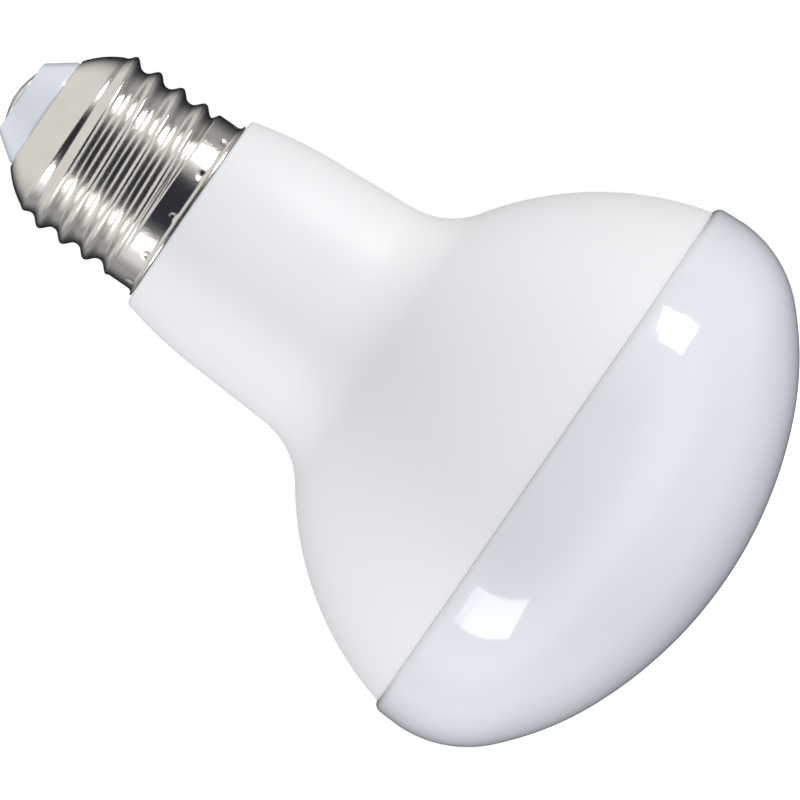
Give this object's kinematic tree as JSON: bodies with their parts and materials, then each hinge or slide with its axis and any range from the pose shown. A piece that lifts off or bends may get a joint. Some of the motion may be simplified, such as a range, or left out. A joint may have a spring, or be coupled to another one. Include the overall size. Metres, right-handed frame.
{
  "type": "reflector bulb",
  "caption": "Reflector lamp with a flared white housing, an opal dome over its light engine and a screw cap on a narrow neck.",
  "frame": {"origin": "middle of the diffuser's front, the lowest point with the cap up, as the lamp hangs in its lampholder", "axes": "+Z along the lamp's axis from the diffuser towards the screw cap; X and Y level"},
  "size_m": [0.08, 0.08, 0.1128],
  "materials": {
    "opal_plastic": "opal polycarbonate, glossy",
    "white_plastic": "satin moulded white",
    "nickel_plate": "bright nickel plate on rolled sheet",
    "cap_plastic": "smooth bluish white moulding",
    "contact_metal": "nickel-plated brass",
    "plain_aluminium": "stamped aluminium plate",
    "board_white": "aluminium board with white solder mask",
    "diode_package": "diode package with yellow phosphor",
    "screw_steel": "zinc-plated steel",
    "glass_fibre_board": "green solder mask",
    "can_sleeve": "shrunk black sleeve",
    "film_case": "yellow moulded case",
    "ferrite": "pressed ferrite",
    "copper_winding": "enamelled copper wire",
    "black_epoxy": "moulded black package",
    "resistor_coat": "flameproof coating",
    "wire_sleeve": "red insulated wire",
    "tinned_copper": "tinned copper",
    "socket_plastic": "natural moulded plastic"
  },
  "bodies": {
    "root": {"board_screws": "screw_steel", "bridge_rectifier": "black_epoxy", "cap_insulator": "cap_plastic", "centre_contact": "contact_metal", "choke_core": "ferrite", "choke_winding": "copper_winding", "diffuser": "opal_plastic", "driver_board": "glass_fibre_board", "driver_chip": "black_epoxy", "film_capacitor": "film_case", "fusible_resistor": "resistor_coat", "heat_spreader": "plain_aluminium", "housing": "white_plastic", "input_capacitor": "can_sleeve", "led_01": "diode_package", "led_02": "diode_package", "led_03": "diode_package", "led_04": "diode_package", "led_05": "diode_package", "led_06": "diode_package", "led_07": "diode_package", "led_08": "diode_package", "led_09": "diode_package", "led_10": "diode_package", "led_11": "diode_package", "led_12": "diode_package", "led_13": "diode_package", "led_14": "diode_package", "led_15": "diode_package", "led_board": "board_white", "live_lead": "wire_sleeve", "neutral_lead": "tinned_copper", "output_capacitor": "can_sleeve", "output_diode": "black_epoxy", "output_pins": "tinned_copper", "pin_socket": "socket_plastic", "screw_shell": "nickel_plate"}
  },
  "joints": []
}
